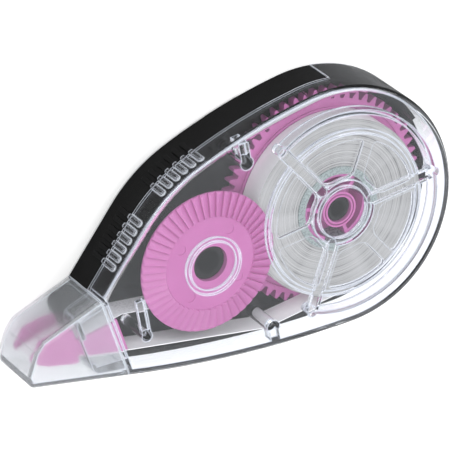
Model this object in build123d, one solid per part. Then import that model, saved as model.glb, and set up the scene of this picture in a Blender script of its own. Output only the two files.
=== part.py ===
from build123d import *

import math
import os

os.makedirs("parts", exist_ok=True)

# Correction tape roller with a 5 mm wide tape: black rear case, clear front cover, push-on cap.
# It lies on its back, +Z up. Millimetres. Shapes are drawn about the supply reel's axis at
# x = y = 0, and save() moves them so that the origin is under the middle of the whole object.
REEL_X = 21.899
REEL_Y = -1.474

# Case thickness and its layers, from the back (z = 0) to the front.
THICKNESS = 12.5
FLOOR = 1.2
PLATE = 1.2
PLATE_BACK = THICKNESS - PLATE
PARTING_Z = 7.0
SKIRT = 1.0
JOINT_GAP = 0.05
STEP_X = 4.0

# The rear case's inner wall, behind the skirt: how far in it reaches and how high it stands.
INNER_WALL_DEPTH = 1.85
INNER_WALL_Z = 6.4
TAIL_WALL_Z = 4.2

# Shallow recess in the exposed grip wall, between two values of x.
PANEL_DEPTH = 0.25
PANEL_START = -11.0

# Case outline: a straight nose edge, then arcs that follow on smoothly, clockwise.
MOUTH_TOP = (-49.64, 4.44)
MOUTH_BOTTOM = (-47.30, -12.41)
NOSE_ANGLE = 43.19
NOSE_LENGTH = 14.42
OUTLINE_ARCS = [(29.61, 26.82), (100.43, 14.28), (24.07, 130.42), (22.0, 57.3)]

# Tape and its layers.
TAPE_WIDTH = 5.0
TAPE_BACK = 3.6
TAPE_FRONT = TAPE_BACK + TAPE_WIDTH
TAPE_THICK = 0.16
LINER_THICK = 0.12

# Gears: one module, one thickness, in mesh at rest. GEAR_LINE is the direction, in degrees,
# from the take-up axis to the reel's.
MODULE = 0.66
SUPPLY_TEETH = 60
TAKE_UP_TEETH = 22
PRESSURE_ANGLE = 20.0
BACKLASH = 0.10
GEAR_BACK = 1.6
GEAR_FRONT = 3.4
RIM_GROOVE = (18.1, 17.4)
GEAR_CENTRES = MODULE * (SUPPLY_TEETH + TAKE_UP_TEETH) / 2
GEAR_LINE = -2.2
TAKE_UP_X = -GEAR_CENTRES * math.cos(math.radians(GEAR_LINE))
TAKE_UP_Y = -GEAR_CENTRES * math.sin(math.radians(GEAR_LINE))

# Supply reel.
SPINDLE_R = 2.4
SPINDLE_BORE_R = 1.6
SPINDLE_DROP = 0.5
RUNNING_FIT = 0.06
HUB_R = 3.4
HUB_FRONT = 9.7
HUB_GROOVE = (2.8, 3.05)
HUB_GROOVE_DEPTH = 0.4
CORE_IN_R = 6.5
CORE_OUT_R = 7.9
CORE_BACK = GEAR_FRONT + 0.1
CORE_FRONT = TAPE_FRONT + 0.3
ROLL_R = 17.0
FINGER_TIP_R = CORE_IN_R - 0.05
FINGER_THICK = 0.7
FINGER_FRONT = TAPE_FRONT - 0.4

# Take-up wheel.
TAKE_UP_SPINDLE_R = 3.3
TAKE_UP_SPINDLE_BORE_R = 2.3
SPIGOT_R = 4.4
SPIGOT_RISE = 0.25
BARREL_R = 5.9
WINDING_R = 7.0
WHEEL_R = 13.4
WHEEL_BACK = 8.7
WHEEL_RIM_FRONT = 9.35
WHEEL_CONE_R = 9.1
WHEEL_FRONT = 10.2
WHEEL_FACE = 9.8
WHEEL_SERRATIONS = 50
SERRATION_DEPTH = 0.45
MARK_R = 0.95
MARK_RADIUS_OUT = 7.0
MARK_DEPTH = 0.12

# Front cover: bosses, arms, bead, petals and pegs.
BOSS_OUT_R = 6.2
BOSS_IN_R = 5.0
BOSS_BACK = 9.9
TAKE_UP_BOSS_OUT_R = 5.5
TAKE_UP_BOSS_IN_R = 4.7
TAKE_UP_BOSS_BACK = 10.4
ARM_WIDTH = 1.9
ARM_BACK = 9.7
ARM_ROUND = 0.45
ARC_WALL_R = 19.3
ARC_WALL_THICK = 0.7
ARC_WALL_BACK = 8.7
ARC_WALL_REACH = 120
BEAD_R = 15.65
BEAD_WIDTH = 0.8
BEAD_DEPTH = 0.9
PETAL_COUNT = 6
PETAL_DEPTH = 0.45
PETAL_FLOOR_ROUND = 0.4
PETAL_GAP = 2.2
PETAL_IN_R = 7.0
PETAL_OUT_R = 14.3
PETAL_IN_ROUND = 2.2
PETAL_OUT_ROUND = 0.8
PEG_R = 1.2
UPPER_PEG = (-17.0, 17.9)
LOWER_PEG = (-17.85, -16.1)
WEB_WIDTH = 1.7
WEB_LENGTH = 4.0
WEB_BACK = TAPE_FRONT + 0.3
GUIDE_PEG = (-42.3, -6.6)
GUIDE_PEG_R = 0.95
GUIDE_RIB_START = (-42.2, 0.6)
GUIDE_RIB_WIDTH = 1.5
GUIDE_RIB_DEPTH = 1.2
SOCKET_R = 2.1
SOCKET_HEIGHT = 2.2

# Neck, cap and head, drawn in a frame of their own: u towards the tip, v towards the grip side.
NECK_BACK = 1.0
NECK_FRONT = THICKNESS - 1.0
NECK_WALL = 1.0
NECK_LENGTH = 5.8
CAP_WALL = 0.9
CAP_FIT = 0.10
CAP_POINTS = [(0, 8.5), (12.5, 7.3), (14.6, 5.9), (17.7, 1.9), (17.4, -0.05), (0, -8.5)]
HEAD_BACK = 2.6
HEAD_FRONT = 9.4
HEAD_TIP = (14.4, 2.45)
TAPE_SLOPE = 0.485
SHANK_END = -2.4
PLATE_LOWER = [(14.5, 2.2), (12.4, 0.5), (7.6, -2.0), (7.0, -2.0)]
PLATE_UPPER = [(6.2, 1.0), (6.0, 4.4), (8.3, 5.0), (12.0, 5.3), (14.5, 3.1)]

# Grip ribs: two groups of six across the parting line.
RIB_PITCH = 1.8
RIB_COUNT = 6
RIB_WIDTH = 1.0
RIB_HEIGHT = 0.5
RIB_LOW_Z = 3.4
RIB_HIGH_Z = 11.0
RIB_STARTS = [5.9, 21.6]

# Rounded edges.
BACK_ROUND = 0.7
FRONT_ROUND = 1.1


def save(shape, name):
    """Writes one node, moved from the reel's frame to the part's frame."""
    placed = Pos(REEL_X, REEL_Y, 0) * shape
    solids = placed.solids()
    whole = solids[0] if len(solids) == 1 else Compound(children=list(solids))
    export_step(whole, os.path.join("parts", name + ".step"))


def slab(face, low, high):
    """A flat face stood up between two heights."""
    return Pos(0, 0, low) * extrude(face, high - low)


def tube(outer, inner, low, high, x=0.0, y=0.0):
    """A round tube, or a rod where the inner radius is 0."""
    ring = Circle(outer)
    if inner > 0:
        ring = ring - Circle(inner)
    return Pos(x, y, 0) * slab(ring, low, high)


# ---------------------------------------------------------------- outlines

def outline_edges():
    """The case outline's edges, from the mouth's top corner clockwise."""
    angle = math.radians(NOSE_ANGLE)
    nose_end = (
        MOUTH_TOP[0] + NOSE_LENGTH * math.cos(angle),
        MOUTH_TOP[1] + NOSE_LENGTH * math.sin(angle),
    )
    edges = [Line(MOUTH_TOP, nose_end)]
    for radius, sweep in OUTLINE_ARCS:
        last = edges[-1]
        edges.append(JernArc(start=last @ 1, tangent=last % 1, radius=radius, arc_size=-sweep))
    last = edges[-1]
    edges.append(TangentArc(last @ 1, Vector(*MOUTH_BOTTOM), tangent=last % 1))
    edges.append(Line(edges[-1] @ 1, edges[0] @ 0))
    return edges


OUTLINE = outline_edges()
CASE_FACE = make_face(OUTLINE)
GRIP_SIDE = make_face(
    Polyline((-60, 2), (-60, 60), (STEP_X, 60), (STEP_X, 19), (-46, -2), close=True)
)
TAIL_SIDE = make_face(Polyline((0, 0), (-27, -75), (80, -75), (80, 37), close=True))
PANEL_SIDE = make_face(
    Polyline((PANEL_START, 15), (PANEL_START, 60), (STEP_X, 60), (STEP_X, 15), close=True)
)


def inset(amount):
    """The case outline drawn in by a wall's thickness."""
    return offset(CASE_FACE, amount=-amount, kind=Kind.INTERSECTION)


# The nose frame: u runs from the middle of the mouth to the tip, v to the grip side.
MOUTH_LENGTH = math.dist(MOUTH_TOP, MOUTH_BOTTOM)
MOUTH_MID = ((MOUTH_TOP[0] + MOUTH_BOTTOM[0]) / 2, (MOUTH_TOP[1] + MOUTH_BOTTOM[1]) / 2)
V_AXIS = (
    (MOUTH_TOP[0] - MOUTH_BOTTOM[0]) / MOUTH_LENGTH,
    (MOUTH_TOP[1] - MOUTH_BOTTOM[1]) / MOUTH_LENGTH,
)
U_AXIS = (-V_AXIS[1], V_AXIS[0])


def nose(u, v):
    """A point of the nose frame in the reel's frame."""
    return (
        MOUTH_MID[0] + u * U_AXIS[0] + v * V_AXIS[0],
        MOUTH_MID[1] + u * U_AXIS[1] + v * V_AXIS[1],
    )


def nose_face(points):
    """A polygon whose corners are given in the nose frame."""
    return make_face(Polyline(*[nose(u, v) for u, v in points], close=True))


def rounded(face, radius, near):
    """The face with the corner nearest each given nose-frame point rounded."""
    corners = []
    for u, v in near:
        x, y = nose(u, v)
        corners.append(min(face.vertices(), key=lambda p: math.dist((p.X, p.Y), (x, y))))
    return fillet(corners, radius)


TOP_SLOPE = (CAP_POINTS[1][1] - CAP_POINTS[0][1]) / (CAP_POINTS[1][0] - CAP_POINTS[0][0])
LOW_SLOPE = (CAP_POINTS[4][1] - CAP_POINTS[5][1]) / (CAP_POINTS[4][0] - CAP_POINTS[5][0])


def nose_edge_top(u, depth):
    """v of a line that lies a given depth inside the cap's upper edge."""
    return CAP_POINTS[0][1] + TOP_SLOPE * u - depth * math.hypot(1, TOP_SLOPE)


def nose_edge_low(u, depth):
    """v of a line that lies a given depth inside the cap's lower edge."""
    return CAP_POINTS[5][1] + LOW_SLOPE * u + depth * math.hypot(1, LOW_SLOPE)


def neck_face(depth, start, end):
    """The neck's section: both sides follow the cap's taper at a given depth under its outside."""
    return nose_face(
        [
            (start, nose_edge_top(max(start, 0), depth)),
            (end, nose_edge_top(end, depth)),
            (end, nose_edge_low(end, depth)),
            (start, nose_edge_low(max(start, 0), depth)),
        ]
    )


NECK_DEPTH = CAP_WALL + CAP_FIT
NECK_OUTER = rounded(
    neck_face(NECK_DEPTH, -1.0, NECK_LENGTH), 1.6, [(NECK_LENGTH, 7), (NECK_LENGTH, -5)]
)
NECK_INNER = neck_face(NECK_DEPTH + NECK_WALL, -3.0, NECK_LENGTH - NECK_WALL) + nose_face(
    [(-3.0, 2.55), (NECK_LENGTH + 1, 2.55), (NECK_LENGTH + 1, -2.2), (-3.0, -6.5)]
)
NECK_REAR = nose_face([(-1.0, 12), (NECK_LENGTH + 1, 12), (NECK_LENGTH + 1, -1.45), (-1.0, -4.8)])


# ---------------------------------------------------------------- grip ribs

def point_on_grip(length):
    """A point and outward direction on the grip side, measured along it from the mouth."""
    for edge in OUTLINE:
        if length <= edge.length:
            place = edge.position_at(length / edge.length)
            along = edge.tangent_at(length / edge.length)
            return place, Vector(-along.Y, along.X)
        length -= edge.length
    raise ValueError("the length runs past the outline")


def grip_rib(length):
    """One upright rib with round ends, partly sunk in the side wall."""
    place, outward = point_on_grip(length)
    middle = Vector(place.X, place.Y, (RIB_LOW_Z + RIB_HIGH_Z) / 2)
    frame = Plane(origin=middle - outward * 0.4, x_dir=Vector(0, 0, 1), z_dir=outward)
    rib = frame * extrude(SlotOverall(RIB_HIGH_Z - RIB_LOW_Z, RIB_WIDTH), RIB_HEIGHT + 0.4)
    outer = rib.faces().sort_by(Axis(middle, outward))[-1]
    return fillet(outer.edges(), RIB_HEIGHT * 0.6)


def grip_ribs(low, high):
    """The part of every rib that lies between two heights."""
    ribs = [grip_rib(start + n * RIB_PITCH) for start in RIB_STARTS for n in range(RIB_COUNT)]
    keep = Pos(0, 0, (low + high) / 2) * Box(300, 300, high - low)
    return [rib & keep for rib in ribs]


# ---------------------------------------------------------------- casings

def case_blank():
    """The whole closed case as one block, its long edges rounded."""
    block = extrude(CASE_FACE, THICKNESS)
    mouth = Vector((MOUTH_TOP[0] + MOUTH_BOTTOM[0]) / 2, (MOUTH_TOP[1] + MOUTH_BOTTOM[1]) / 2)

    def rim(height):
        edges = block.edges().filter_by_position(Axis.Z, height - 0.01, height + 0.01)
        return [e for e in edges if (e.center() - mouth - Vector(0, 0, height)).length > 0.5]

    block = fillet(rim(0), BACK_ROUND)
    return fillet(rim(THICKNESS), FRONT_ROUND)


def spindle(radius, bore, top, x, y):
    """An upright hollow axle with a chamfered tip, standing on the floor."""
    post = tube(radius, 0, FLOOR, top, x, y)
    post = chamfer(post.edges().sort_by(Axis.Z)[-1], 0.25)
    return post - tube(bore, 0, FLOOR + 0.5, top + 1, x, y)


def rear_case(blank):
    """Black tray: floor, exposed grip-side wall, low inner wall behind the cover's skirt, spindles."""
    inner_foot = inset(SKIRT + JOINT_GAP)
    tray = blank & slab((CASE_FACE & GRIP_SIDE) + inner_foot, 0, PARTING_Z)
    tray -= slab(inner_foot - GRIP_SIDE, INNER_WALL_Z, PARTING_Z + 1)
    tray -= slab(inner_foot & TAIL_SIDE, TAIL_WALL_Z, PARTING_Z + 1)
    tray -= slab(inset(INNER_WALL_DEPTH), FLOOR, PARTING_Z + 1)
    tray -= tube(MODULE * (SUPPLY_TEETH / 2 + 1) + 0.35, 0, FLOOR, PARTING_Z + 1)
    tray -= slab((CASE_FACE - inset(PANEL_DEPTH)) & PANEL_SIDE, -1, PARTING_Z + 1)
    tray += slab(NECK_OUTER & NECK_REAR, NECK_BACK, PARTING_Z)
    tray -= slab(NECK_INNER, NECK_BACK + NECK_WALL + 0.2, PARTING_Z + 1)
    tray += spindle(SPINDLE_R, SPINDLE_BORE_R, HUB_FRONT - SPINDLE_DROP, 0, 0)
    wheel_spindle_top = WHEEL_FACE - SPINDLE_DROP
    tray += spindle(TAKE_UP_SPINDLE_R, TAKE_UP_SPINDLE_BORE_R, wheel_spindle_top, TAKE_UP_X, TAKE_UP_Y)
    for x, y in (UPPER_PEG, LOWER_PEG):
        socket = tube(SOCKET_R, PEG_R + JOINT_GAP, FLOOR, FLOOR + SOCKET_HEIGHT, x, y)
        tray += socket & slab(inset(SKIRT + JOINT_GAP), 0, THICKNESS)
    tray += grip_ribs(RIB_LOW_Z, PARTING_Z)
    return tray


def arm(angle):
    """A thick bar under the cover plate, from the boss to the arc wall, that holds the reel down."""
    length = ARC_WALL_R - BOSS_OUT_R + ARM_WIDTH
    bar = Pos((ARC_WALL_R + BOSS_OUT_R) / 2, 0) * SlotOverall(length, ARM_WIDTH)
    solid = slab(bar, ARM_BACK, PLATE_BACK)
    solid = fillet(solid.edges().group_by(Axis.Z)[0], ARM_ROUND)
    solid += slab(Pos(ARC_WALL_R, 0) * Circle(ARM_WIDTH / 2), ARC_WALL_BACK, PLATE_BACK)
    return Rot(0, 0, angle) * solid


def arc_band(radius, width, low, high, start, end):
    """A curved wall about the reel's axis between two angles in degrees."""
    sweep = end - start
    ring = Circle(radius + width / 2) - Circle(radius - width / 2)
    reach = 4 * radius
    corners = [(0, 0)]
    steps = math.ceil(sweep / 60)
    for n in range(steps + 1):
        turn = math.radians(start + sweep * n / steps)
        corners.append((reach * math.cos(turn), reach * math.sin(turn)))
    return slab(ring & make_face(Polyline(*corners, close=True)), low, high)


def by_radius(corners):
    """Corners sorted by their distance from the reel's axis."""
    return corners.sort_by(lambda corner: math.hypot(corner.X, corner.Y))


def petals():
    """Sector recesses in the cover's face: coved sides, and wide round corners near the boss."""
    sector = math.radians(360 / PETAL_COUNT)
    reach = PETAL_GAP / 2 / math.sin(sector / 2)
    apex = Vector(reach * math.cos(sector / 2), reach * math.sin(sector / 2))
    far = 2 * PETAL_OUT_R
    side = Vector(math.cos(sector), math.sin(sector)) * far
    wedge = Polyline(apex, apex + Vector(far, 0), apex + side, close=True)
    shape = (Circle(PETAL_OUT_R) - Circle(PETAL_IN_R)) & make_face(wedge)
    shape = fillet(by_radius(shape.vertices())[-2:], PETAL_OUT_ROUND)
    shape = fillet(by_radius(shape.vertices())[:2], PETAL_IN_ROUND)
    recess = slab(shape, THICKNESS - PETAL_DEPTH, THICKNESS + 1)
    recess = fillet(recess.edges().group_by(Axis.Z)[0], PETAL_FLOOR_ROUND)
    return [Rot(0, 0, 360 / PETAL_COUNT * n) * recess for n in range(PETAL_COUNT)]


def front_cover(blank):
    """Clear shell: face plate, grip-side upper wall, full-depth skirt, neck plate, bosses and pegs."""
    shell = blank - slab(CASE_FACE & GRIP_SIDE, -1, PARTING_Z)
    shell -= slab(inset(SKIRT), -1, PLATE_BACK)
    neck = slab(NECK_OUTER, NECK_BACK, NECK_FRONT) - slab(NECK_REAR, 0, PARTING_Z)
    shell += neck
    shell -= slab(NECK_REAR & NECK_OUTER, -1, PARTING_Z)
    shell -= slab(NECK_INNER, -1, NECK_FRONT - PLATE)
    shell += tube(BOSS_OUT_R, BOSS_IN_R, BOSS_BACK, PLATE_BACK)
    take_up_boss = Circle(TAKE_UP_BOSS_OUT_R) - Circle(TAKE_UP_BOSS_IN_R)
    shell += slab(Pos(TAKE_UP_X, TAKE_UP_Y) * take_up_boss, TAKE_UP_BOSS_BACK, PLATE_BACK)
    for angle in (0, 120, 240):
        shell += arm(angle)
    wall_start = -ARC_WALL_REACH
    shell += arc_band(ARC_WALL_R, ARC_WALL_THICK, ARC_WALL_BACK, PLATE_BACK, wall_start, ARC_WALL_REACH)
    bead_back = PLATE_BACK - BEAD_DEPTH
    shell += tube(BEAD_R + BEAD_WIDTH / 2, BEAD_R - BEAD_WIDTH / 2, bead_back, PLATE_BACK)
    for x, y in (UPPER_PEG, LOWER_PEG):
        side = 1 if y > 0 else -1
        web = Pos(x, y + side * WEB_LENGTH / 2) * Rectangle(WEB_WIDTH, WEB_LENGTH)
        shell += tube(PEG_R, 0, FLOOR + 0.3, PLATE_BACK, x, y)
        shell += slab(web & inset(SKIRT / 2), WEB_BACK, PLATE_BACK)
    shell += tube(GUIDE_PEG_R, 0, FLOOR + 2, PLATE_BACK, *GUIDE_PEG)
    guide_rib = trace(Line(GUIDE_RIB_START, GUIDE_PEG), GUIDE_RIB_WIDTH)
    shell += slab(guide_rib, PLATE_BACK - GUIDE_RIB_DEPTH, PLATE_BACK)
    shell += grip_ribs(PARTING_Z, RIB_HIGH_Z)
    return shell - petals()


def cap():
    """Hollow push-on cap whose taper follows the neck."""
    section = rounded(nose_face(CAP_POINTS), 1.0, [(17.7, 1.9), (17.4, 0), (14.6, 5.9), (12.5, 7.3)])
    block = extrude(section, THICKNESS)
    mouth = Vector(*nose(0, 0))

    def rim(height):
        edges = block.edges().filter_by_position(Axis.Z, height - 0.01, height + 0.01)
        return [e for e in edges if (e.center() - mouth - Vector(0, 0, height)).length > 0.5]

    block = fillet(rim(0), BACK_ROUND)
    block = fillet(rim(THICKNESS), FRONT_ROUND)
    hollow = offset(section, amount=-CAP_WALL) + neck_face(CAP_WALL, -1.0, 3.0)
    block -= slab(hollow, CAP_WALL, THICKNESS - CAP_WALL)
    block -= slab(nose_face([(-1, 12), (0.05, 12), (0.05, -12), (-1, -12)]), -1, THICKNESS + 1)
    return block


# ---------------------------------------------------------------- head and tape

def tape_v(u):
    """v of the fresh tape's line along the head's lower side."""
    return HEAD_TIP[1] + TAPE_SLOPE * (u - HEAD_TIP[0])


def tape_head():
    """Pink head: a wedge that turns the tape at its tip, two side plates and a shank in the neck."""
    clear = 0.25
    tip = HEAD_TIP[0] - 0.25
    lower = [(u, tape_v(u) + clear) for u in (SHANK_END, NECK_LENGTH)]
    lower.append((tip, tape_v(tip) + 0.1))
    upper = [(tip, 2.62), (NECK_LENGTH, 2.1), (SHANK_END, 1.4)]
    head = slab(nose_face(lower + upper), TAPE_BACK - 0.2, TAPE_FRONT + 0.2)
    plate = nose_face(PLATE_LOWER + PLATE_UPPER)
    head += slab(plate, HEAD_BACK, TAPE_BACK - 0.2)
    head += slab(plate, TAPE_FRONT + 0.2, HEAD_FRONT)
    return head


def ribbon(points, thick):
    """A thin band stood on edge along a line of points."""
    sides = [[], []]
    for n, point in enumerate(points):
        before = Vector(*points[max(n - 1, 0)])
        after = Vector(*points[min(n + 1, len(points) - 1)])
        here = Vector(*point)
        turns = [d.normalized() for d in (here - before, after - here) if d.length > 0]
        along = sum(turns, Vector()).normalized()
        half = thick / 2 / max(along.dot(turns[0]), 0.5)
        normal = Vector(-along.Y, along.X) * half
        sides[0].append(here + normal)
        sides[1].append(here - normal)
    outline = sides[0] + sides[1][::-1]
    return slab(make_face(Polyline(*outline, close=True)), TAPE_BACK, TAPE_FRONT)


def around(centre, radius, start, end, steps):
    """Points on an arc, angles in degrees."""
    turns = [math.radians(start + (end - start) * n / steps) for n in range(steps + 1)]
    return [(centre[0] + radius * math.cos(t), centre[1] + radius * math.sin(t)) for t in turns]


def fresh_tape_run():
    """Coated tape from the roll, round the lower peg and along the head to its tip."""
    peg = around(LOWER_PEG, PEG_R + 0.05 + TAPE_THICK / 2, -91, -107, 3)
    head_start = nose(-3.07, tape_v(-3.07))
    head_end = nose(14.35, tape_v(14.35) - 0.02)
    points = [(0.5, -(ROLL_R + 0.2))] + peg + [head_start, head_end]
    return ribbon(points, TAPE_THICK)


def spent_liner_run():
    """Bare liner from the head's tip back to the underside of the take-up winding."""
    start = nose(-3.7, 1.62)
    radius = WINDING_R + 0.15
    centre = Vector(TAKE_UP_X, TAKE_UP_Y)
    reach = Vector(*start) - centre
    turn = math.atan2(reach.Y, reach.X) + math.acos(radius / reach.length)
    touch = (centre.X + radius * math.cos(turn), centre.Y + radius * math.sin(turn))
    points = [nose(14.4, 2.62), nose(14.2, 2.78), nose(5.8, 2.32), start, touch]
    return ribbon(points, LINER_THICK)


# ---------------------------------------------------------------- gears and reels

def gear_face(teeth, phase):
    """An involute gear's outline: a tooth is centred at the phase angle, in degrees."""
    pitch_r = MODULE * teeth / 2
    base_r = pitch_r * math.cos(math.radians(PRESSURE_ANGLE))
    tip_r = pitch_r + MODULE * 0.97
    root_r = pitch_r - MODULE * 1.2

    def involute(radius):
        angle = math.acos(min(base_r / radius, 1))
        return math.tan(angle) - angle

    half_pitch = (math.pi * MODULE / 2 - BACKLASH) / 2 / pitch_r
    flank = []
    for n in range(4):
        radius = max(base_r, root_r) + (tip_r - max(base_r, root_r)) * n / 3
        flank.append((radius, half_pitch + involute(pitch_r) - involute(radius)))
    foot = (root_r, flank[0][1] + 0.1 * MODULE / pitch_r)
    profile = [foot] + flank
    points = []
    for tooth in range(teeth):
        middle = math.radians(phase + 360 * tooth / teeth)
        for radius, half in profile:
            points.append((radius * math.cos(middle - half), radius * math.sin(middle - half)))
        for radius, half in profile[::-1]:
            points.append((radius * math.cos(middle + half), radius * math.sin(middle + half)))
    return make_face(Polyline(*points, close=True))


def supply_gear():
    """Pink gear under the reel with a hub for the spindle and three friction fingers for the core."""
    gear = slab(gear_face(SUPPLY_TEETH, GEAR_LINE), GEAR_BACK, GEAR_FRONT)
    gear -= tube(*RIM_GROOVE, GEAR_FRONT - 0.3, GEAR_FRONT + 1)
    gear += tube(HUB_R, 0, GEAR_BACK, HUB_FRONT)
    gear -= tube(HUB_GROOVE[1], HUB_GROOVE[0], HUB_FRONT - HUB_GROOVE_DEPTH, HUB_FRONT + 1)
    gear -= tube(SPINDLE_R + RUNNING_FIT, 0, 0, HUB_FRONT + 1)
    middle_r = FINGER_TIP_R - FINGER_THICK / 2
    finger = arc_band(middle_r, FINGER_THICK, CORE_BACK, FINGER_FRONT, 0, 75)
    link_length = middle_r - HUB_R + 0.4
    link = Pos((HUB_R + middle_r) / 2, FINGER_THICK / 2) * Rectangle(link_length, FINGER_THICK)
    finger += slab(link, CORE_BACK, FINGER_FRONT)
    for angle in (40, 160, 280):
        gear += Rot(0, 0, angle) * finger
    return gear


def take_up_gear():
    """Small gear with the winding barrel and a spigot that the knurled wheel is pressed on."""
    gear = slab(gear_face(TAKE_UP_TEETH, GEAR_LINE + 180 / TAKE_UP_TEETH), GEAR_BACK, GEAR_FRONT)
    gear += tube(BARREL_R, 0, GEAR_FRONT, WHEEL_BACK)
    gear += tube(SPIGOT_R, 0, WHEEL_BACK, WHEEL_FACE + SPIGOT_RISE)
    gear -= tube(TAKE_UP_SPINDLE_R + RUNNING_FIT, 0, 0, WHEEL_FRONT + 1)
    return Pos(TAKE_UP_X, TAKE_UP_Y, 0) * gear


def take_up_wheel():
    """Pink wheel with a pleated bevel rim, a flat face and four round marks."""
    half = [
        (SPIGOT_R, WHEEL_BACK),
        (WHEEL_R, WHEEL_BACK),
        (WHEEL_R, WHEEL_RIM_FRONT - 0.25),
        (WHEEL_R - 0.3, WHEEL_RIM_FRONT),
        (WHEEL_CONE_R, WHEEL_FRONT),
        (WHEEL_CONE_R - 0.25, WHEEL_FACE),
        (SPIGOT_R, WHEEL_FACE),
    ]
    profile = make_face(Polyline(*[(r, 0, z) for r, z in half], close=True))
    wheel = revolve(profile, Axis.Z)
    slope = math.degrees(math.atan2(WHEEL_FRONT - WHEEL_RIM_FRONT, WHEEL_R - 0.3 - WHEEL_CONE_R))
    pitch = 2 * math.pi * WHEEL_R / WHEEL_SERRATIONS
    tooth = make_face(Polyline((0, 0.3), (0, -SERRATION_DEPTH), (pitch, 0.3), close=True))
    groove = extrude(Plane.YZ * tooth, 5.6)
    groove = Pos(WHEEL_CONE_R - 0.6, 0, WHEEL_FRONT + 0.12) * (Rot(0, slope, 0) * groove)
    wheel -= [Rot(0, 0, 360 * n / WHEEL_SERRATIONS) * groove for n in range(WHEEL_SERRATIONS)]
    for angle in (45, 135, 225, 315):
        mark = Rot(0, 0, angle) * (Pos(MARK_RADIUS_OUT, 0) * Circle(MARK_R))
        wheel -= slab(mark, WHEEL_FACE - MARK_DEPTH, WHEEL_FACE + 1)
    return Pos(TAKE_UP_X, TAKE_UP_Y, 0) * wheel


# ---------------------------------------------------------------- every node

blank = case_blank()
save(rear_case(blank), "rear_case")
save(front_cover(blank), "front_cover")
save(cap(), "cap")
save(tape_head(), "tape_head")
save(fresh_tape_run(), "fresh_tape_run")
save(spent_liner_run(), "spent_liner_run")
save(supply_gear(), "supply_gear")
save(tube(CORE_OUT_R, CORE_IN_R, CORE_BACK, CORE_FRONT), "spool_core")
save(tube(ROLL_R, CORE_OUT_R, TAPE_BACK, TAPE_FRONT), "tape_roll")
save(take_up_gear(), "take_up_gear")
save(take_up_wheel(), "take_up_wheel")
winding = tube(WINDING_R, BARREL_R, TAPE_BACK + 0.1, TAPE_FRONT + 0.1, TAKE_UP_X, TAKE_UP_Y)
save(winding, "liner_winding")
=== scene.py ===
"""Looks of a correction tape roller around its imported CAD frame. Everything is in metres."""

import math

import bpy
from mathutils import Matrix, Vector

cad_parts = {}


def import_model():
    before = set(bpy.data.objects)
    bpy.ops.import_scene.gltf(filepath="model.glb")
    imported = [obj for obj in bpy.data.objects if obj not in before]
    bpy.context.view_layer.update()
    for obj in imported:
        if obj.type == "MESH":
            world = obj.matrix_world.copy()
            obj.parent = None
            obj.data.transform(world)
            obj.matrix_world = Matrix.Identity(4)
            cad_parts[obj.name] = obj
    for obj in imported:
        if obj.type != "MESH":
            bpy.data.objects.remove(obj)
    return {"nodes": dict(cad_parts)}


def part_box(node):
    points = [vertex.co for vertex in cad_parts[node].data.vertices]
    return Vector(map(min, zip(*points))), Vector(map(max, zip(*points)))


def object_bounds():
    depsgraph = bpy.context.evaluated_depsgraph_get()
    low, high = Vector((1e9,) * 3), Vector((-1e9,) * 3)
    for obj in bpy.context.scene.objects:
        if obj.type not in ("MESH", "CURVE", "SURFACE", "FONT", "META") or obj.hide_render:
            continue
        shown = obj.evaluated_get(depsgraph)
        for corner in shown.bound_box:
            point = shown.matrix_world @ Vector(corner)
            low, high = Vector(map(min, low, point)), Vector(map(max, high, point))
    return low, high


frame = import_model()
CAD_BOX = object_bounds()
NODES = frame["nodes"]
MM = 0.001

REEL = (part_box("tape_roll")[0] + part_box("tape_roll")[1]) / 2
CENTRE = (CAD_BOX[0] + CAD_BOX[1]) / 2


# ---------------------------------------------------------------- material recipes


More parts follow.
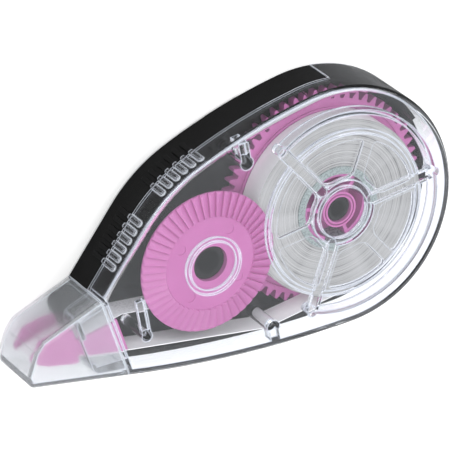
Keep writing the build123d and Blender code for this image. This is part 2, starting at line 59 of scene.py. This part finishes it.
class Recipe:
    """One material's node tree, with short calls for what the recipes below share."""

    def __init__(self, name):
        self.material = bpy.data.materials.new(name)
        self.material.use_nodes = True
        self.tree = self.material.node_tree
        self.tree.nodes.clear()
        self.output = self.tree.nodes.new("ShaderNodeOutputMaterial")
        self.place = self.tree.nodes.new("ShaderNodeTexCoord").outputs["Object"]

    def add(self, kind, sockets=(), **settings):
        """A node. sockets pairs an input's name or number with a value or an output to link."""
        made = self.tree.nodes.new("ShaderNode" + kind)
        for key, value in settings.items():
            setattr(made, key, value)
        for key, value in dict(sockets).items():
            self.feed(made.inputs[key], value)
        return made

    def feed(self, socket, value):
        if isinstance(value, bpy.types.NodeSocket):
            self.tree.links.new(value, socket)
        else:
            socket.default_value = value

    def maths(self, operation, *values):
        return self.add("Math", enumerate(values), operation=operation).outputs[0]

    def noise(self, scale, detail=3.0, rough=0.5, place=None):
        """Noise from 0 to 1. scale is in waves per millimetre."""
        sockets = {"Vector": place or self.place, "Scale": scale / MM, "Detail": detail, "Roughness": rough}
        return self.add("TexNoise", sockets).outputs["Fac"]

    def blend(self, amount, first, second):
        """A colour between two others."""
        mix = self.add("Mix", data_type="RGBA")
        colours = [s for s in mix.inputs if s.type == "RGBA"]
        self.feed(mix.inputs[0], amount)
        self.feed(colours[0], first)
        self.feed(colours[1], second)
        return next(s for s in mix.outputs if s.type == "RGBA")

    def spread(self, value, low, high, start=0.0, end=1.0):
        """Maps a value from start..end to low..high, clamped."""
        sockets = {"Value": value, "From Min": start, "From Max": end, "To Min": low, "To Max": high}
        return self.add("MapRange", sockets).outputs[0]

    def bump(self, height, depth, normal=None):
        """A normal from a height of 0 to 1. depth is in millimetres."""
        sockets = {"Height": height, "Distance": depth * MM, "Strength": 1.0}
        if normal is not None:
            sockets["Normal"] = normal
        return self.add("Bump", sockets).outputs[0]

    def surface(self, **sockets):
        names = {key.replace("_", " "): value for key, value in sockets.items()}
        return self.add("BsdfPrincipled", names).outputs[0]

    def mix(self, amount, first, second):
        """A shader between two others."""
        return self.add("MixShader", {0: amount, 1: first, 2: second}).outputs[0]

    def lets_lamps_through(self, shader, tint):
        """Clear plastic that doesn't shade what is behind it."""
        path = self.add("LightPath").outputs
        clear = self.add("BsdfTransparent", {"Color": tint}).outputs[0]
        unshaded = self.mix(path["Is Shadow Ray"], shader, clear)
        return self.mix(path["Is Diffuse Ray"], unshaded, clear)

    def soft_edges(self, radius):
        """A normal that rounds sharp edges. radius is in millimetres."""
        return self.add("Bevel", {"Radius": radius * MM}, samples=6).outputs[0]

    def near_edge(self, radius, start, end):
        """1 along sharp edges, 0 on open surfaces. radius is in millimetres.

        start and end bound how far the rounded normal turns away from the flat one.
        """
        flat = self.add("NewGeometry").outputs["Normal"]
        pair = {0: self.soft_edges(radius), 1: flat}
        agree = self.add("VectorMath", pair, operation="DOT_PRODUCT").outputs["Value"]
        turned = self.maths("SUBTRACT", 1.0, self.maths("ABSOLUTE", agree))
        return self.spread(turned, 0.0, 1.0, start, end)

    def done(self, shader):
        self.tree.links.new(shader, self.output.inputs["Surface"])
        return self.material


def grey(value, warm=0.0):
    return (value * (1 + warm), value, value * (1 - warm), 1)


def clear_plastic():
    """Moulded crystal polystyrene, almost polished. Along its sharp edges a pale bluish colour is painted
    in as thin lines: a painted reflection standing for the light the rounded edges catch, with a little
    real gloss from a coat and rounded normals on top.
    """
    r = Recipe("clear_plastic")
    glass = r.surface(
        Base_Color=(0.98, 0.985, 1.0, 1),
        Roughness=r.spread(r.noise(0.6), 0.0, 0.04),
        IOR=1.57,
        Transmission_Weight=1.0,
        Normal=r.bump(r.noise(0.12, 2.0), 0.02),
    )
    # Painted reflection: opaque pale bluish colour laid along the sharp edges in place of the light they
    # would reflect; the coat and rounded normal add real gloss.
    painted_edge_reflection = r.surface(
        Base_Color=r.blend(r.noise(0.8), (0.58, 0.62, 0.71, 1), (0.87, 0.9, 0.97, 1)),
        Roughness=0.25,
        Coat_Weight=0.5,
        Normal=r.soft_edges(0.3),
    )
    # Painted reflection mask: the pale colour covers the sharp edges at 0.85 strength.
    painted_edge_amount = r.maths("MULTIPLY", r.near_edge(0.5, 0.006, 0.07), 0.85)
    return r.done(r.lets_lamps_through(r.mix(painted_edge_amount, glass, painted_edge_reflection), (0.97, 0.975, 0.98, 1)))


def frosted_plastic():
    """Milky polypropylene of the cap, cloudier in random patches. Along its edges a pale bluish grey is
    painted in: a painted reflection standing for the grey-blue lines that light draws on the rounded edges.
    """
    r = Recipe("frosted_plastic")
    milky = r.surface(
        Base_Color=(0.96, 0.967, 0.975, 1),
        Roughness=r.spread(r.noise(1.5), 0.2, 0.28),
        IOR=1.49,
        Transmission_Weight=0.96,
        Normal=r.bump(r.noise(6.0), 0.003),
    )
    # Pale bluish grey used both for real random cloudiness and for the painted reflection along the sharp
    # edges.
    haze_and_painted_edge = r.surface(Base_Color=(0.7, 0.77, 0.85, 1), Roughness=0.35)
    cloud = r.spread(r.noise(0.3), 0.02, 0.05)
    # Painted reflection mask along the sharp edges, at 0.65 strength.
    painted_edge_amount = r.maths("MULTIPLY", r.near_edge(0.35, 0.006, 0.08), 0.65)
    amount = r.maths("MAXIMUM", painted_edge_amount, cloud)
    return r.done(r.lets_lamps_through(r.mix(amount, milky, haze_and_painted_edge), (0.9, 0.905, 0.91, 1)))


def black_plastic():
    """Glossy black styrene of the rear case."""
    r = Recipe("black_plastic")
    cloud = r.noise(0.2)
    shader = r.surface(
        Base_Color=r.blend(cloud, grey(0.005), grey(0.009)),
        Roughness=r.spread(r.noise(0.4, 1.0), 0.12, 0.2),
        Specular_IOR_Level=0.24,
        Normal=r.bump(r.noise(0.15, 0.0), 0.004),
    )
    return r.done(shader)


def pink_plastic():
    """Pink acetal of the gears and the head."""
    r = Recipe("pink_plastic")
    cloud = r.noise(0.25)
    shader = r.surface(
        Base_Color=r.blend(cloud, (0.44, 0.112, 0.315, 1), (0.5, 0.14, 0.365, 1)),
        Roughness=r.spread(r.noise(2.0), 0.34, 0.46),
        Subsurface_Weight=0.15,
        Subsurface_Radius=(1.0, 0.4, 0.7),
        Subsurface_Scale=0.0005,
        Normal=r.bump(r.noise(4.0), 0.004, r.soft_edges(0.08)),
    )
    return r.done(shader)


def wound_tape():
    """The roll: hundreds of turns show on its faces as fine rings about the reel's axis."""
    r = Recipe("wound_tape")
    split = r.add("SeparateXYZ", {0: r.place}).outputs
    x = r.maths("SUBTRACT", split[0], REEL.x)
    y = r.maths("SUBTRACT", split[1], REEL.y)
    radius = r.maths("SQRT", r.maths("ADD", r.maths("MULTIPLY", x, x), r.maths("MULTIPLY", y, y)))
    fine = r.add("TexNoise", {"W": radius, "Scale": 4.0 / MM, "Detail": 5.0}, noise_dimensions="1D")
    broad = r.add("TexNoise", {"W": radius, "Scale": 0.6 / MM, "Detail": 2.0}, noise_dimensions="1D")
    across = r.maths("DIVIDE", x, radius)
    along = r.maths("DIVIDE", y, radius)
    bearing = r.add("CombineXYZ", {0: across, 1: along}).outputs[0]
    # Painted sheen: broad lighter and darker sectors round the axis, painted into the face colour to stand
    # for the sheen the wound faces throw in sectors.
    painted_sheen_sectors = r.add("TexNoise", {"Vector": bearing, "Scale": 2.2, "Detail": 3.0}).outputs["Fac"]
    rings = r.spread(fine.outputs["Fac"], 0.0, 1.0, 0.3, 0.7)
    turns = r.blend(rings, grey(0.10, 0.03), grey(0.48, 0.02))
    turns = r.blend(r.spread(broad.outputs["Fac"], 0.0, 0.4, 0.4, 0.6), turns, grey(0.42, 0.02))
    # The painted sheen sectors blend the face colour toward a lighter grey here.
    turns = r.blend(r.spread(painted_sheen_sectors, 0.0, 0.6, 0.4, 0.62), turns, grey(0.46, 0.015))
    upright = r.add("SeparateXYZ", {0: r.add("NewGeometry").outputs["True Normal"]}).outputs[2]
    face = r.maths("ABSOLUTE", upright)
    shader = r.surface(
        Base_Color=r.blend(face, grey(0.86, 0.01), turns),
        Roughness=r.spread(rings, 0.3, 0.5),
        Normal=r.bump(rings, 0.02),
    )
    return r.done(shader)


def tape_film():
    """Coated tape, chalk white."""
    r = Recipe("tape_film")
    shader = r.surface(
        Base_Color=r.blend(r.noise(0.4), grey(0.8, 0.01), grey(0.9, 0.01)),
        Roughness=r.spread(r.noise(3.0), 0.4, 0.55),
        Normal=r.bump(r.noise(0.5), 0.02),
    )
    return r.done(shader)


def liner_film():
    """Bare silicone-coated liner, whitish and a little shiny."""
    r = Recipe("liner_film")
    shader = r.surface(
        Base_Color=r.blend(r.noise(0.4), (0.72, 0.7, 0.72, 1), (0.82, 0.8, 0.82, 1)),
        Roughness=r.spread(r.noise(2.0), 0.2, 0.35),
        Normal=r.bump(r.noise(0.5), 0.02),
    )
    return r.done(shader)


def smoke_plastic():
    """Greenish translucent styrene of the spool core."""
    r = Recipe("smoke_plastic")
    shader = r.surface(
        Base_Color=r.blend(r.noise(0.5), (0.33, 0.39, 0.38, 1), (0.4, 0.46, 0.45, 1)),
        Roughness=r.spread(r.noise(2.0), 0.2, 0.35),
        Transmission_Weight=0.3,
        Normal=r.bump(r.noise(2.0), 0.004),
    )
    return r.done(shader)


def floor_paint():
    """White paper that looks like dark card in gloss, as if cards stood round the object."""
    r = Recipe("floor")
    path = r.add("LightPath").outputs
    paper = r.surface(Base_Color=grey(0.9), Roughness=0.9, Specular_IOR_Level=0.0)
    glow = r.add("Emission", {"Color": grey(1.0), "Strength": 0.25}).outputs[0]
    bright = r.add("AddShader", {0: paper, 1: glow}).outputs[0]
    card = r.surface(Base_Color=grey(0.16), Roughness=0.9, Specular_IOR_Level=0.0)
    return r.done(r.mix(r.maths("MINIMUM", path["Glossy Depth"], 1.0), bright, card))


CLEAR = clear_plastic()
FROST = frosted_plastic()
BLACK = black_plastic()
PINK = pink_plastic()
WOUND = wound_tape()
TAPE = tape_film()
LINER = liner_film()
SMOKE = smoke_plastic()

FINISHES = {
    "rear_case": BLACK,
    "front_cover": CLEAR,
    "cap": FROST,
    "tape_head": PINK,
    "fresh_tape_run": TAPE,
    "spent_liner_run": LINER,
    "supply_gear": PINK,
    "spool_core": SMOKE,
    "tape_roll": WOUND,
    "take_up_gear": PINK,
    "take_up_wheel": PINK,
    "liner_winding": LINER,
}
for name, material in FINISHES.items():
    NODES[name].data.materials.clear()
    NODES[name].data.materials.append(material)


# ---------------------------------------------------------------- floor, lights, camera

# How bright the mirrored room is by height: 0 at the horizon, 1 at the zenith.
ROOM_TONES = ((0.30, 0.36), (0.5, 1.0), (0.64, 1.0), (0.74, 0.8), (0.9, 0.82))
HORIZON = (0.42, 0.435, 0.46, 1)


def floor():
    bpy.ops.mesh.primitive_plane_add(size=3.0, location=(0, 0, 0))
    plane = bpy.context.object
    plane.name = "floor"
    plane.data.materials.append(floor_paint())


def outward(azimuth, elevation):
    """The unit vector from the object towards a lamp or camera. Azimuth 0 is -y, 90 is +x."""
    a = math.radians(azimuth)
    e = math.radians(elevation)
    return Vector((math.sin(a) * math.cos(e), -math.cos(a) * math.cos(e), math.sin(e)))


def softbox(name, azimuth, elevation, distance, size, power):
    """A rectangular area light aimed at the object."""
    back = outward(azimuth, elevation)
    lamp = bpy.data.lights.new(name, "AREA")
    lamp.shape = "RECTANGLE"
    lamp.size, lamp.size_y = size
    lamp.energy = power
    made = bpy.data.objects.new(name, lamp)
    made.location = CENTRE + back * distance
    made.rotation_mode = "QUATERNION"
    made.rotation_quaternion = (-back).to_track_quat("-Z", "Y")
    bpy.context.scene.collection.objects.link(made)


def camera(azimuth, elevation, roll, offset, distance, lens):
    """The camera, aimed at a point a little off the middle of the object."""
    back = outward(azimuth, elevation)
    made = bpy.data.objects.new("camera", bpy.data.cameras.new("camera"))
    upright = (-back).to_track_quat("-Z", "Y").to_matrix().to_4x4()
    turn = Matrix.Rotation(math.radians(roll), 4, "Z")
    made.matrix_world = Matrix.Translation(CENTRE + Vector(offset) + back * distance) @ upright @ turn
    made.data.lens = lens
    made.data.clip_start = 0.01
    bpy.context.scene.collection.objects.link(made)
    bpy.context.scene.camera = made


def world(strength, gloss):
    """Even light, with a bright ceiling and darker low sides for what gloss and glass mirror."""
    made = bpy.data.worlds.new("studio")
    made.use_nodes = True
    tree = made.node_tree
    even = tree.nodes["Background"]
    even.inputs["Strength"].default_value = strength
    even.inputs["Color"].default_value = (1, 1, 1, 1)
    room = tree.nodes.new("ShaderNodeBackground")
    room.inputs["Strength"].default_value = gloss
    ramp = tree.nodes.new("ShaderNodeValToRGB")
    for place, value in ROOM_TONES:
        stop = ramp.color_ramp.elements.new(place)
        stop.color = (value * 0.97, value, value * 1.05, 1)
    ramp.color_ramp.elements.remove(ramp.color_ramp.elements[-1])
    ramp.color_ramp.elements[0].color = HORIZON
    split = tree.nodes.new("ShaderNodeSeparateXYZ")
    tree.links.new(tree.nodes.new("ShaderNodeTexCoord").outputs["Generated"], split.inputs[0])
    tree.links.new(split.outputs[2], ramp.inputs[0])
    tree.links.new(ramp.outputs[0], room.inputs["Color"])
    path = tree.nodes.new("ShaderNodeLightPath").outputs
    mirrored = tree.nodes.new("ShaderNodeMath")
    mirrored.operation = "MAXIMUM"
    mirrored.use_clamp = True
    tree.links.new(path["Glossy Depth"], mirrored.inputs[0])
    tree.links.new(path["Transmission Depth"], mirrored.inputs[1])
    mix = tree.nodes.new("ShaderNodeMixShader")
    tree.links.new(mirrored.outputs[0], mix.inputs[0])
    tree.links.new(even.outputs[0], mix.inputs[1])
    tree.links.new(room.outputs[0], mix.inputs[2])
    tree.links.new(mix.outputs[0], tree.nodes["World Output"].inputs["Surface"])
    bpy.context.scene.world = made


floor()
world(strength=0.52, gloss=1.0)
softbox("key", azimuth=205, elevation=75, distance=0.6, size=(0.3, 0.5), power=1.5)
softbox("fill", azimuth=110, elevation=35, distance=0.6, size=(0.25, 0.5), power=0.9)
softbox("rim", azimuth=320, elevation=40, distance=0.6, size=(0.2, 0.5), power=0.9)
softbox("front", azimuth=200, elevation=22, distance=0.6, size=(0.4, 0.15), power=0.9)
camera(
    azimuth=215.05,
    elevation=51.3,
    roll=127.1,
    offset=(1.04 * MM, 2.96 * MM, 0),
    distance=0.7854,
    lens=354.3,
)
bpy.context.scene.view_settings.view_transform = "Standard"
